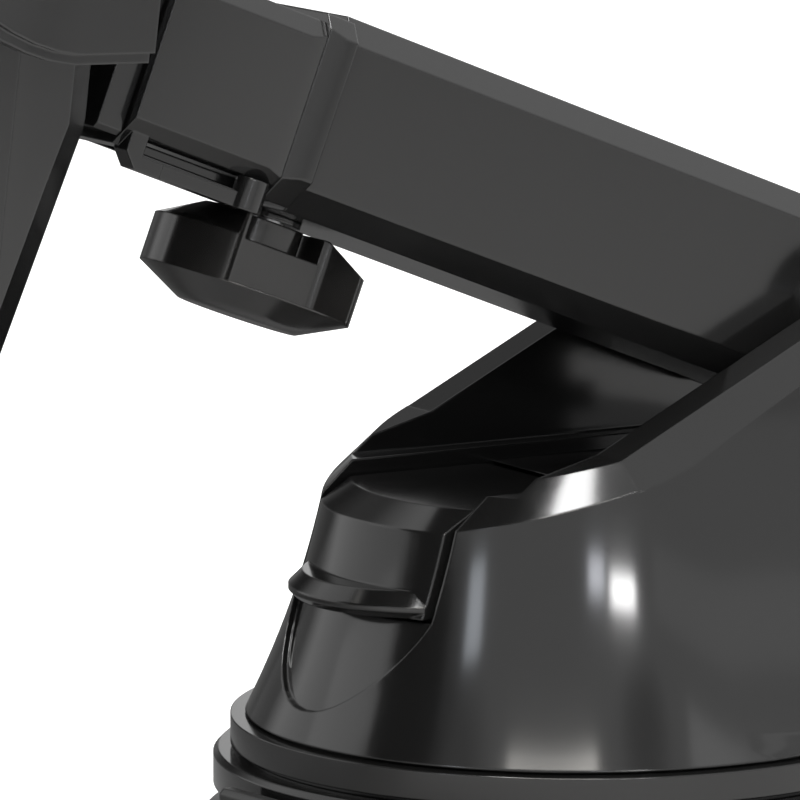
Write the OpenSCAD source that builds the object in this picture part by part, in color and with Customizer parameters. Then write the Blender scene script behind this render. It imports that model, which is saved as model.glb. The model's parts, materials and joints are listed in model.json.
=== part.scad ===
// Car phone mount: suction base, pivoting telescopic arm, ball joint and a self-gripping phone cradle.
// Origin: centre of the suction cup's underside. +Z is up, and the arm leans towards -X.

/* [Suction base] */
// Radius of the suction cup's rim
cup_r = 38; // [37.5:0.5:44]
// Height of the cup below the lower ring
cup_h = 3.5; // [3:0.1:6]
// Radius of the lower ring that holds the cup
lower_ring_r = 36.65; // [36.4:0.05:37.4]
// Height of the lower ring
lower_ring_h = 4.65; // [4:0.05:7]
// Radius of the trim ring above it
trim_ring_r = 34.9; // [34.4:0.1:36]
// Height of the trim ring
trim_ring_h = 3.5; // [2.5:0.1:5]
// Bevel around the bottom of the lower ring
cup_ring_bevel = 1.1; // [0.5:0.1:1.6]
// Width of the cup's pull tab
tab_w = 13; // [8:0.5:16]
// Height of the pull tab's top above the surface
tab_h = 7.3; // [5:0.1:9]
// Thickness of the pull tab
tab_t = 2; // [1.4:0.1:2.4]
// Turn of the pull tab from the front towards the near side
tab_turn = 6; // [-20:1:20]
// Height of the shadow groove under the trim ring
ring_groove_h = 0.6; // [0.3:0.1:1]
// Height of the shadow groove under the dome
groove_h = 0.25; // [0.2:0.05:0.8]
// Depth of the shadow grooves
groove_d = 1; // [0.5:0.1:1.5]
// Radius of the base plate inside the rings
plate_r = 29.6; // [28:0.2:30.5]
// Radius of the base screws
base_screw_r = 1.5; // [1:0.1:2]
// Distance of the base screws from the base's axis
base_screw_at = 23; // [21:0.5:24]

/* [Dome] */
// Radius of the dome at its bottom edge
dome_base_r = 33.5; // [32:0.25:34.5]
// Upper radius of the dome's flare
dome_top_r = 25; // [23.5:0.25:26.5]
// Height of the slot floor above the dome's bottom edge
floor_h = 24.05; // [22:0.05:30]
// Height above its bottom edge at which the dome has its upper radius
flare_h = 25.35; // [23:0.05:30]
// Share of straight slope in the dome's flare
flare = 0.53; // [0.3:0.01:0.8]
// Wall of the dome
dome_wall = 2.8; // [2.2:0.1:3.4]
// Thickness of the slot floor
floor_t = 2.4; // [1.8:0.1:3]
// Height of the chamfer around the lever's front top
front_chamfer_h = 2.1; // [1:0.1:4]
// Width of the chamfer around the lever's front top
front_chamfer_w = 2.4; // [1:0.1:3.5]
// Height of the ledge along the foot of the slot
ledge_h = 1.5; // [0.5:0.1:2.5]
// Rise of the cheek rims towards the pivot, in degrees
rim_angle = 26.3; // [22:0.1:30]
// Height of the rim plane above the slot floor at the base's axis
rim_h = 8.75; // [6:0.05:11]
// Width of the flat land on each cheek
land_w = 4.5; // [3:0.1:6]
// Slope of the chamfer outside the land, in degrees
rim_chamfer_angle = 36.5; // [25:0.5:50]
// Rise of the rims' front ends, in degrees
front_rim_angle = 14.5; // [10:0.5:20]
// Distance in front of the base's axis at which the rims become flatter
front_rim_from = 7.4; // [5:0.1:9]
// Slope of the chamfer around the dome's front, in degrees
front_slope = 44.1; // [43:0.1:45]
// Distance behind the base's axis of the axis that the front chamfer turns about
front_axis = 7.9; // [7:0.1:8.5]
// Height of the front chamfer's apex above the slot floor
front_apex = 29.94; // [29.5:0.02:30.5]

/* [Lever] */
// Width of the lever
lever_w = 24.2; // [22:0.2:26]
// Gap beside the lever
lever_gap = 1; // [0.6:0.1:1.4]
// Wall of the lever
lever_wall = 2.2; // [1.6:0.1:2.4]
// Distance of the lever's pins in front of the base's axis
lever_pin_x = 4; // [3.5:0.1:5]
// Depth of the lever's pins below the slot floor
lever_pin_depth = 6; // [5.5:0.1:7]
// Radius of the lever's pins
lever_pin_r = 1.5; // [1:0.1:2]
// Height of the lip's underside below the slot floor
lip_depth = 10.5; // [9:0.1:12]
// Height of the finger lip
lip_h = 2.6; // [2:0.1:4]
// How far the middle of the lip stands out from the dome
lip_out = 3.6; // [1:0.1:5]
// Radius of the lip in plan
lip_r = 15; // [13.5:0.25:20]
// Depth of the finger recess
recess_depth = 0.7; // [0.4:0.1:1.6]
// Height of the finger recess below the lip
recess_h = 10.4; // [6:0.1:11]

/* [Pull rod] */
// Radius of the pull rod
rod_r = 3; // [2.5:0.1:3.4]
// Radius of the rod's foot plate
rod_foot_r = 9.8; // [8:0.2:12]
// Thickness of the foot plate
rod_foot_t = 2; // [1.5:0.1:2.2]
// How far the rod drops when the lever is open
rod_drop = 2.6; // [2:0.1:2.6]
// Radius of the pin that joins lever and rod
rod_pin_r = 1; // [0.8:0.05:1.2]
// Wire radius of the rod's spring
rod_wire_r = 0.5; // [0.3:0.05:0.6]

/* [Arm pivot] */
// Distance of the pivot behind the base's axis
pivot_x = 27; // [25:0.5:29]
// Height of the pivot above the slot floor
pivot_h = 15.35; // [14:0.05:19]
// Radius of the ears around the pivot
ear_r = 8; // [7.5:0.25:10]
// Thickness of the ears
ear_t = 5; // [4.5:0.1:6]
// Radius of the pivot bolt
bolt_r = 2.5; // [2:0.1:3]
// Radius of the bolt's head, its nut and their caps
bolt_head_r = 4.6; // [4:0.1:5.5]
// Depth of the bolt head's seat inside the ear's outer face
bolt_seat = 3.4; // [3:0.1:3.6]
// Thickness of the caps over the bolt's ends
cap_t = 1.1; // [0.8:0.1:1.2]
// Wall of the hub's bushing
bushing_wall = 2; // [1:0.1:3]
// Thickness of the friction washers between the arm and the ears
washer_t = 2.8; // [2.3:0.1:3.6]

/* [Arm] */
// Lean of the arm above level, in degrees
arm_angle = 21.56; // [15:0.1:40]
// Width of the arm tube
arm_w = 26.4; // [25:0.1:28]
// Height of the arm tube
arm_h = 20; // [19:0.1:22]
// Chamfer along the arm's edges
arm_chamfer = 2.6; // [1:0.1:3]
// Length of the arm tube from the pivot to the flange
arm_len = 68.15; // [60:0.25:90]
// Distance from the pivot to the hollow of the tube
hollow_at = 14; // [12:0.5:16]

/* [Clamp] */
// Thickness of the end flange
flange_t = 3.2; // [2:0.1:4]
// Length of the clamp collar
collar_len = 17.7; // [15:0.1:22]
// Width of the collar and flange
collar_w = 28.4; // [27.5:0.1:30]
// Height of the collar's top above the arm's axis
collar_top = 8.5; // [8.2:0.1:10]
// Depth of the collar's underside below the arm's axis
collar_bottom = 9.65; // [9.4:0.05:9.9]
// Chamfer along the collar's upper edges
collar_chamfer = 1.9; // [1:0.1:2.5]
// Chamfer along the collar's lower edges
collar_low_chamfer = 2.9; // [2:0.1:3.2]
// Height of the flange's top above the arm's axis
flange_top = 9.4; // [8.6:0.1:10]
// Length of the bevels beside the seam between collar and flange
seam_bevel = 1.9; // [1:0.1:2.4]
// Depth of the bevels beside the seam
seam_depth = 0.5; // [0.2:0.1:0.8]
// Height of the slit above the tongue
slit_h = 1.7; // [1:0.1:2]
// Width of the rib behind the slit
slit_rib = 2; // [1.6:0.1:3]
// Thickness of the tongue
tongue_t = 1.5; // [1:0.1:2]
// Width of the tongue at its root
tongue_w = 2.6; // [2:0.1:4]
// Length of the tongue's root at the collar's end
tongue_root = 1.9; // [1.6:0.1:4]
// Distance from the tongue's root to the seam across it
tongue_seam = 4.4; // [3:0.1:8]
// How far the post stands out of the tongue's near face
post_proud = 0.8; // [0.4:0.1:1]
// Radius of the post at the tongue's free end
post_r = 1.7; // [1:0.1:2]
// Distance from the clamp screw to the tube's end
screw_back = 5; // [4:0.25:8]
// Radius of the clamp screw
screw_r = 1.6; // [1.2:0.1:2]
// Wall of the threaded insert around the clamp screw
insert_wall = 0.9; // [0.6:0.1:1.5]

/* [Knob] */
// Radius of the knob across its lobes
knob_r = 10.85; // [9:0.1:13]
// Height of the knob's wall
knob_wall_h = 4.9; // [3:0.1:7]
// Width and height of the knob's lower chamfer
knob_low_chamfer = [4.7, 2.4];
// Width and height of the knob's upper chamfer
knob_top_chamfer = [4.3, 2.5];
// Half width of the knob's waist
knob_waist = 4.2; // [3.5:0.1:6]
// Half length of the flat on the waist
knob_flat = 4.4; // [2:0.1:5]
// Turn of the knob at rest, in degrees
knob_turn = 1; // [-45:1:45]
// Radius of the hub between the knob's lobes
knob_hub_r = 2.7; // [2.2:0.1:3.2]
// Half length of the flat sides of the knob's hub
knob_hub_flat = 1.2; // [0.6:0.1:1.4]
// Gap between the knob and the arm
knob_gap = 0.8; // [0.7:0.1:1.5]

/* [Inner arm] */
// Width of the inner arm
inner_w = 22.4; // [20:0.1:23]
// Height of the inner arm
inner_h = 15.6; // [14:0.1:15.8]
// Depth of the inner arm's underside below the arm's axis
inner_low = 8.4; // [8:0.1:8.5]
// Chamfer along the inner arm's edges
inner_chamfer = 0.8; // [0.4:0.1:1.5]
// Sliding gap around the inner arm
slide_gap = 0.3; // [0.2:0.05:0.4]
// Depth of the groove under the inner arm for the pressure pad
groove_under = 1.3; // [0.8:0.1:1.4]
// Room behind the inner arm's stop inside the tube
stop_room = 4; // [2:0.5:8]
// Wall of the inner arm
inner_wall = 2.6; // [2:0.1:3.2]
// Width of the head at the inner arm's end
head_w = 25.4; // [24:0.1:26]
// Depth of the head's underside below the arm's axis
head_low = 8.9; // [8.4:0.1:9.2]
// Chamfer along the head's edges
head_chamfer = 0.5; // [0.3:0.1:1]
// Gap between the head and the collar's end
head_gap = 0.2; // [0.1:0.05:0.5]
// Length of the stop behind the inner arm
stop_len = 4; // [2:0.5:5]
// Length of the stop's plug inside the inner arm
stop_plug = 8; // [5:0.5:12]

/* [Ball joint] */
// Distance from the collar's end to the ball's centre
ball_reach = 12.85; // [12:0.05:16]
// Radius of the ball
ball_r = 7; // [6:0.1:7.5]
// Radius of the ball's neck
neck_r = 3.5; // [2.5:0.1:3.6]
// Length of the neck from the ball's centre to the inner arm
neck_len = 9.8; // [9.6:0.1:12]
// Depth of the neck inside the inner arm
neck_seat = 6; // [4:0.5:8]
// Gap between the ball, its liner and the socket
socket_gap = 0.15; // [0.1:0.05:0.2]
// Thickness of the socket's liner
liner_t = 1.3; // [1:0.1:1.8]
// Wall of the socket
socket_wall = 1.4; // [1:0.1:2]
// Wall of the ring nut
ring_wall = 1.9; // [1.4:0.1:3]
// Depth of the ring nut behind the ball's centre
ring_back = 6.6; // [6:0.1:7]
// Thickness of the ring nut's lip
ring_lip = 1.8; // [1.2:0.1:2]
// Bevel around the ring nut's rear edge
ring_bevel = 2.6; // [1:0.1:2.8]
// Radius of the ring nut's opening at its inside
ring_hole_r = 6.2; // [5.8:0.1:6.6]

/* [Cradle] */
// Lean of the cradle from upright, in degrees
holder_angle = 7; // [0:0.5:15]
// Width of the cradle
cradle_w = 56; // [52:0.5:60]
// Height of the cradle above the ball
cradle_up = 44; // [40:0.5:60]
// Depth of the cradle below the ball
cradle_down = 46; // [42:0.5:60]
// Width of the cradle at its lower end
cradle_low_w = 34; // [26:0.5:40]
// Distance from the ball's centre to the cradle's rear
rear_at = 0.5; // [0.4:0.1:1.5]
// Thickness of the back cover
back_t = 9.5; // [9:0.1:10.5]
// Thickness of the front shell
front_t = 6; // [5.5:0.1:8]
// Depth below the ball at which the rear begins to taper
taper_from = 9.6; // [6:0.1:14]
// Depth below the ball at which the cradle begins to narrow
narrow_from = 32; // [20:0.5:35]
// Slope of the tapered rear, in degrees
taper_angle = 16.4; // [8:0.2:17]
// Thickness of the rubber front pad
pad_t = 1; // [0.6:0.1:2]
// Height of the pad's lower edge below the ball
pad_down = 18; // [12:0.5:19]
// Inset of the cradle's rear face behind its stepped corners
corner_in = 3.5; // [2:0.1:5]
// Depth of the stepped corners' first slope
corner_step = 3.4; // [2:0.1:5]
// Inset of the stepped corners' second slope
corner_lip = 0.4; // [0.2:0.1:1]
// Depth at which the stepped corners end
corner_end = 7; // [5:0.1:8]
// Size of the corners at the cradle's top
top_corner = 6; // [4:0.1:8]
// Size of the corners at the cradle's lower end
foot_corner = 3; // [1:0.1:5]
// Depth of the front pad's top below the cradle's top
pad_drop = 3; // [2:0.1:5]
// Size of the front pad's upper corners
pad_corner = 5; // [3:0.1:7]
// Radius of the cradle's screws
cradle_screw_r = 1.2; // [0.8:0.1:1.5]
// Depth of the screw heads' outer faces inside the cradle's rear
screw_sink = 1.2; // [0.8:0.1:1.6]
// Thickness of the cradle screws' heads
cradle_head_t = 2; // [1.6:0.1:2.4]
// Depth of the sockets in the screw heads
screw_socket = 1; // [0.6:0.1:1.4]
// Wall of the front shell over the screws' holes
screw_cover = 1.4; // [1:0.1:2]
// Gap at the screws' tips
screw_tip_gap = 0.2; // [0.1:0.05:0.4]
// Distance of the lower screws from the cradle's middle
low_screw_y = 20; // [18:0.5:22]
// Depth of the lower screws below the ball
low_screw_down = 4; // [2:0.5:6]
// Distance of the upper screws from the cradle's middle
top_screw_y = 12; // [10:0.5:14]
// Height of the upper screws above the ball
top_screw_up = 39.5; // [38:0.5:40]

/* [Jaws] */
// Width between the jaw pads at rest
grip_w = 72; // [66:0.5:86]
// Thickness of the jaw pads
jaw_pad_t = 2; // [1:0.1:3]
// Chamfer along the jaws' upper and lower edges
jaw_chamfer = 1; // [0.5:0.1:1.5]
// Wall of the jaws
jaw_wall = 3; // [2:0.1:4]
// Height of the jaws
jaw_h = 43; // [34:0.5:60]
// Depth of the jaws' lower edge below the ball
jaw_down = 3.6; // [0:0.1:6]
// Rise of the jaws' lower edge towards the rear
jaw_rise = 0.7; // [0:0.1:3]
// Depth of the jaws' flat sides
jaw_side = 7.8; // [6:0.1:12]
// Radius of the jaws' rounded fronts
jaw_round_r = 15; // [12:0.5:18]
// Sweep of the jaws' rounded fronts, in degrees
jaw_sweep = 75; // [50:1:85]
// Height of the pinion above the ball
pinion_up = 22; // [20:0.5:24]
// Number of teeth on the pinion
pinion_teeth = 12; // [10:1:14]
// Module of the pinion and racks
tooth_module = 0.7; // [0.6:0.05:0.75]
// Height of the rack bars
rack_h = 4.4; // [3:0.1:5]
// Thickness of the rack bars and the pinion
rack_t = 2.8; // [2:0.1:3]
// Reach of each rack past the cradle's middle
rack_past = 17; // [12:0.5:18]
// Travel of each jaw from rest to closed, for which the racks have room
jaw_close = 6; // [4:0.5:6]
// Gap around the racks
rack_gap = 0.4; // [0.3:0.05:0.6]
// Radius of the pinion's pin
pinion_pin_r = 1.5; // [1:0.1:1.8]

/* [Buttons and foot] */
// Half width of the trigger plate
trigger_w = 8.5; // [6:0.1:10]
// Height of the trigger plate
trigger_h = 21; // [14:0.5:24]
// Height of the trigger's top edge above the ball
trigger_up = 6; // [2:0.5:8]
// Gap around buttons
button_gap = 0.3; // [0.2:0.05:0.5]
// Thickness of the trigger plate
trigger_t = 3.2; // [2:0.1:3.4]
// Travel of the trigger and release keys
button_travel = 1.5; // [1:0.1:1.8]
// Height of the release keys
key_h = 7; // [5:0.5:8]
// Depth of the release keys
key_d = 4; // [3:0.1:4.5]
// How far the release keys stand out
key_out = 1.8; // [1.6:0.1:3]
// Length of the release keys
key_len = 4.4; // [3:0.1:6]
// Height of the keys' middle above the ball
key_up = 33.4; // [33:0.1:34]
// Half width of the foot's slider
slider_w = 8; // [5:0.1:10]
// Depth of the foot tray below the ball
foot_down = 62; // [54:0.5:80]
// Half width of the foot tray
foot_w = 14; // [9:0.5:20]
// Depth of the foot tray in front of the cradle
foot_out = 15; // [10:0.5:20]
// Thickness of the foot tray
foot_t = 3; // [2:0.1:4]
// Height of the lip on the foot
foot_lip = 4; // [2:0.1:8]
// Thickness of the rubber on the foot
foot_pad_t = 1.2; // [0.6:0.1:2]

/* [Hidden] */
$fn = 72;

// Smallest overlap that joins or cuts through cleanly
eps = 0.01;
// Radial clearance of a seated pin or screw
seat_gap = 0.02;
// Radial clearance of a turning or sliding pin
run_gap = 0.05;
// Step between the sloping rims and their flatter front ends
bend_step = 0.03;
// A length past every cut
far = 80;

black = "#1c1c1e";
black_trim = "#262628";
rubber = "#141414";
steel = "#9a9ca0";
brass = "#b08d4a";
nylon = "#d8d4c8";

// Levels of the base's stack
plate_z = cup_h;
trim_z = plate_z + lower_ring_h;
dome_z = trim_z + trim_ring_h;
floor_z = dome_z + floor_h;
flare_z = dome_z + flare_h;
ledge_z = floor_z + ledge_h;
rim_z = floor_z + rim_h;
pivot_z = floor_z + pivot_h;
slot_w = arm_w + 2 * washer_t;
ear_y = slot_w / 2 + ear_t;
bolt_seat_y = ear_y - bolt_seat;
bolt_head_t = bolt_seat - cap_t - 0.4;
ceiling_z = floor_z - floor_t;
chamfer_z = floor_z - front_chamfer_h;

// Lever levels
lever_half = lever_w / 2;
opening_half = lever_half + lever_gap;
lever_z = floor_z - lever_pin_depth;
lever_hub_r = lever_pin_depth;
hub_gap = 0.4;
lip_z = floor_z - lip_depth;
opening_z = lip_z - hub_gap;
rod_head_half = 3.5;
rod_space = rod_head_half + lever_gap;
boss_y0 = opening_half + 0.2;
boss_y1 = 20;
boss_h = 9;
boss_half = 5;
screw_angles = [60, 120, 240, 300];
screw_boss_r = 3.5;
screw_boss_h = 12;
screw_head_r = 2.8;
screw_head_t = 2;
rod_foot_z = plate_z + 0.5;
rod_head_z = lever_z - 3;
rod_head_top = lever_z + 2.2;

// Arm and clamp places, measured along the arm from the pivot
flange_x = arm_len;
screw_at = arm_len - screw_back;
collar_x = flange_x + flange_t;
collar_end = collar_x + collar_len;
ball_at = collar_end + ball_reach;
hollow_half = inner_w / 2 + slide_gap;
inner_z = [-inner_low, inner_h - inner_low];
hollow_z = [inner_z[0] - slide_gap, inner_z[1] + slide_gap];
tongue_top = -collar_bottom - 0.25;
tongue_low = tongue_top - tongue_t;
slit_top = tongue_top + slit_h;
slit_y = hollow_half - inner_chamfer - 0.4;
tongue_y = collar_w / 2 - 1.2;
post_at = [collar_x + post_r + 0.3, tongue_y + post_proud - post_r];
knob_top = -arm_h / 2 - knob_gap;
insert_r = screw_r + insert_wall;
pad_r = screw_r + 0.4;
pad_top = inner_z[0] + groove_under - 0.2;
screw_top = hollow_z[0] + 0.1;
knob_h = knob_wall_h + knob_low_chamfer[1] + knob_top_chamfer[1];
inner_end = ball_at - neck_len;
inner_start = hollow_at + stop_len + stop_room;

// Ball joint radii
liner_in = ball_r + socket_gap;
liner_out = liner_in + liner_t;
socket_in = liner_out + socket_gap;
socket_out = socket_in + socket_wall;
ring_in = socket_out + 0.3;
ring_out = ring_in + ring_wall;
ring_step = ring_back - ring_lip;
seat_t = 0.8;

// Cradle planes, measured forwards from the ball's centre
split_at = rear_at + back_t;
face_at = split_at + front_t;
pad_at = face_at + pad_t;
ball_pos = [pivot_x - ball_at * cos(arm_angle), 0, pivot_z + ball_at * sin(arm_angle)];
rack_x = split_at + 0.6;
rack_channel = split_at + rack_t + 1.2;
pitch_r = tooth_module * pinion_teeth / 2;
tooth_pitch = PI * tooth_module;
tooth_root = 1.25 * tooth_module;
jaw_in = grip_w / 2 + jaw_pad_t;
jaw_out = jaw_in + jaw_wall;
jaw_x0 = rear_at + 2.6;
jaw_x1 = jaw_x0 + jaw_side;
jaw_mid = jaw_out - jaw_round_r;
cradle_half = cradle_w / 2;
pad_half = cradle_half - 3;
trigger_x = face_at + pad_t - 0.2 - trigger_t;
slider_groove = 2;
slider_t = 0.8;
slider_neck = slider_w - 2.3;
slider_top = -pad_down - 4;
cradle_screw_places = [
    [low_screw_y, -low_screw_down], [-low_screw_y, -low_screw_down],
    [top_screw_y, top_screw_up], [-top_screw_y, top_screw_up],
];

// Radius of the dome at a height
function flare_share(z) = max(-flare / (2 * (1 - flare)), (flare_z - z) / flare_h);
function dome_r(z) = dome_top_r + (dome_base_r - dome_top_r)
    * (flare * flare_share(z) + (1 - flare) * pow(flare_share(z), 2));

// Dome outline points between two heights, moved in by an inset
function dome_points(z0, z1, inset, steps) =
    [for (i = [0 : steps]) let (z = z0 + (z1 - z0) * i / steps) [dome_r(z) - inset, z]];

// Frames of the arm and the holder: x forwards along them, z across and up
module arm_frame() {
    translate([pivot_x, 0, pivot_z]) rotate([0, 0, 180]) rotate([0, -arm_angle, 0]) children();
}

module holder_frame() {
    translate(ball_pos) rotate([0, 0, 180]) rotate([0, -holder_angle, 0]) children();
}

// Box between two corners
module span(low, high) {
    translate(low) cube(high - low);
}

// Box across the middle plane
module mid_span(x, half, z) {
    span([x[0], -half, z[0]], [x[1], half, z[1]]);
}

// Flat shape in x and z, as thick as a span of y
module across_y(y) {
    translate([0, y[1], 0]) rotate([90, 0, 0]) linear_extrude(y[1] - y[0]) children();
}

// Flat shape in y and z, as long as a span of x
module along_x(x) {
    translate([x[0], 0, 0]) rotate([90, 0, 90]) linear_extrude(x[1] - x[0]) children();
}

module rod_y(x, z, y, r, sides = 72) {
    translate([x, y[0], z]) rotate([-90, 0, 0]) cylinder(r = r, h = y[1] - y[0], $fn = sides);
}

module rod_x(x, y, z, r, sides = 72) {
    translate([x[0], y, z]) rotate([0, 90, 0]) cylinder(r = r, h = x[1] - x[0], $fn = sides);
}

module rod_z(x, y, z, r, sides = 72) {
    translate([x, y, z[0]]) cylinder(r = r, h = z[1] - z[0], $fn = sides);
}

module both_sides() {
    children();
    mirror([0, 1, 0]) children();
}

// Bar section with chamfered corners, running along x
module chamfered_bar(x, half, z, c) {
    along_x(x) polygon([[-half + c, z[0]], [half - c, z[0]], [half, z[0] + c], [half, z[1] - c],
        [half - c, z[1]], [-half + c, z[1]], [-half, z[1] - c], [-half, z[0] + c]]);
}

// Coil spring swept along z
module coil(r, wire_r, z, turns) {
    sides = 6;
    rings = 12 * turns;
    z0 = z[0] + wire_r;
    rise = z[1] - z[0] - 2 * wire_r;
    points = [for (i = [0 : rings]) for (k = [0 : sides - 1])
        let (a = 360 * turns * i / rings, b = 360 * k / sides, q = r + wire_r * cos(b))
        [q * cos(a), q * sin(a), z0 + rise * i / rings + wire_r * sin(b)]];
    walls = [for (i = [0 : rings - 1]) for (k = [0 : sides - 1])
        let (n = (k + 1) % sides)
        each [[i * sides + k, (i + 1) * sides + n, i * sides + n],
            [i * sides + k, (i + 1) * sides + k, (i + 1) * sides + n]]];
    first = [for (k = [0 : sides - 1]) k];
    last = [for (k = [sides - 1 : -1 : 0]) rings * sides + k];
    polyhedron(points, concat(walls, [first, last]));
}

// Round ring with a shadow groove under its outer edge
module stacked_ring(r, inner, z, h) {
    rotate_extrude() polygon([[inner, z], [r - groove_d, z], [r - groove_d, z + ring_groove_h],
        [r, z + ring_groove_h], [r, z + h], [inner, z + h]]);
}

// Suction base

module suction_cup() {
    rim_t = 1.2;
    pocket_r = rod_foot_r + 0.6;
    neck_r = lower_ring_r - cup_ring_bevel - 0.4;
    color(rubber) {
        rotate_extrude() polygon([[0, 0], [cup_r - 0.6, 0], [cup_r, rim_t / 2], [cup_r - 0.4, rim_t],
            [neck_r, rim_t + 0.7], [neck_r, cup_h], [pocket_r, cup_h],
            [pocket_r, rod_foot_z - rod_drop - 0.2], [0, rod_foot_z - rod_drop - 0.2]]);
        pull_tab();
    }
}

// Upright tab on the cup's rim, with ridges on its outer face
module pull_tab() {
    out = -cup_r - 1.6;
    in = out + tab_t;
    foot = -cup_r + 2;
    round = 0.5;
    ridge = 0.5;
    rise = (tab_h - 1.6) / 4;
    ridges = [for (i = [3 : -1 : 1]) let (z = 0.6 + rise * (i + 0.3))
        each [[out, z + 0.4], [out - ridge, z], [out, z - 0.4]]];
    rotate([0, 0, tab_turn]) across_y([-tab_w / 2, tab_w / 2])
        polygon(concat([[out, 0.3], [foot, 0.3], [foot, 1.1], [in, 1.1], [in, tab_h - round],
            [in - round, tab_h], [out + round, tab_h], [out, tab_h - round]], ridges));
}

module lower_ring() {
    bevel = 0.5;
    color(black_trim) rotate_extrude() polygon([[plate_r, plate_z], [lower_ring_r - cup_ring_bevel, plate_z],
        [lower_ring_r, plate_z + cup_ring_bevel], [lower_ring_r, trim_z - bevel],
        [lower_ring_r - bevel, trim_z], [plate_r, trim_z]]);
}

module trim_ring() {
    color(black_trim) stacked_ring(trim_ring_r, plate_r, trim_z, trim_ring_h);
}

module base_screw_places() {
    for (a = screw_angles) rotate([0, 0, a]) translate([base_screw_at, 0, 0]) children();
}

module base_plate() {
    head_top = plate_z + screw_head_t + 1;
    color(black_trim) difference() {
        rod_z(0, 0, [plate_z, dome_z], plate_r);
        rod_z(0, 0, [plate_z - 1, trim_z], rod_foot_r + 0.6);
        rod_z(0, 0, [plate_z, far], rod_r + run_gap);
        base_screw_places() rod_z(0, 0, [plate_z - 1, far], base_screw_r + seat_gap);
        base_screw_places() rod_z(0, 0, [plate_z - 1, head_top], screw_head_r + 0.2);
    }
}

module base_screws() {
    head_z = plate_z + 1;
    color(steel) base_screw_places() {
        difference() {
            rod_z(0, 0, [head_z, head_z + screw_head_t], screw_head_r);
            translate([-0.4, -screw_head_r + 0.8, head_z - eps]) cube([0.8, 2 * screw_head_r - 1.6, 0.9]);
            translate([-screw_head_r + 0.8, -0.4, head_z - eps]) cube([2 * screw_head_r - 1.6, 0.8, 0.9]);
        }
        rod_z(0, 0, [head_z + screw_head_t - eps, dome_z + screw_boss_h - 2], base_screw_r);
    }
}

// Drum of the dome, with the chamfer around its top
module drum(inset, top) {
    rotate_extrude() polygon(concat([[0, dome_z]], dome_points(dome_z, chamfer_z, inset, 14),
        [[dome_top_r - front_chamfer_w - inset, top], [0, top]]));
}

// Dome carried up to a height and drawn back to the pivot with straight sides
module raised_body(top) {
    points = concat(dome_points(dome_z, chamfer_z, 0, 14), dome_points(chamfer_z + 2, top, 0, 10));
    mirrored = [for (i = [len(points) - 1 : -1 : 0]) [-points[i][0], points[i][1]]];
    rotate_extrude() polygon(concat([[0, dome_z]], points, [[0, top]]));
    intersection() {
        along_x([0, far]) polygon(concat(points, mirrored));
        rod_z(0, 0, [dome_z, top], dome_base_r, 144);
    }
}

// Everything under the sloping rims and their chamfers
module under_rims() {
    land_out = slot_w / 2 + land_w;
    drop = (far - land_out) * tan(rim_chamfer_angle);
    translate([0, 0, rim_z]) rotate([0, -rim_angle, 0]) along_x([-far, far])
        polygon([[-far, -2 * far], [far, -2 * far], [far, -drop], [land_out, 0], [-land_out, 0],
            [-far, -drop]]);
}

// Everything under the flatter front ends of the rims and the chamfer that runs around them
module under_front() {
    bend_z = rim_z - front_rim_from * tan(rim_angle) + bend_step;
    apex_z = floor_z + front_apex;
    top = pivot_z;
    intersection() {
        translate([front_axis, 0, 0]) cylinder(r1 = apex_z / tan(front_slope),
            r2 = (apex_z - top) / tan(front_slope), h = top, $fn = 144);
        translate([-front_rim_from, 0, bend_z]) rotate([0, -front_rim_angle, 0])
            mid_span([-far, far], far, [-2 * far, 0]);
        mid_span([-far, eps - front_rim_from], far, [-far, far]);
    }
}

module cheek_ears() {
    rod_y(pivot_x, pivot_z, [-ear_y, ear_y], ear_r);
}

// Outline of the finger recess in y and z
module recess_outline() {
    steps = 12;
    polygon([for (i = [-steps : steps]) let (a = 90 * i / steps)
        [opening_half * sin(a), lip_z - recess_h * pow(cos(a), 1.5)]]);
}

module recess_cut() {
    outer = dome_points(dome_z, opening_z + 4, -2, 14);
    inner = dome_points(dome_z, opening_z + 4, recess_depth, 14);
    reversed = [for (i = [len(inner) - 1 : -1 : 0]) inner[i]];
    intersection() {
        rotate_extrude() polygon(concat(outer, reversed));
        along_x([-far, 0]) recess_outline();
    }
}

module lever_bosses() {
    both_sides() span([-lever_pin_x - boss_half, boss_y0, lever_z - boss_half],
        [-lever_pin_x + boss_half, boss_y1, ceiling_z + eps]);
}

module screw_bosses() {
    intersection() {
        base_screw_places() rod_z(0, 0, [dome_z, ceiling_z + eps], screw_boss_r);
        rotate_extrude() polygon(concat([[0, dome_z]], dome_points(dome_z, ceiling_z + eps, dome_wall / 2, 6),
            [[0, ceiling_z + eps]]));
    }
}

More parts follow.
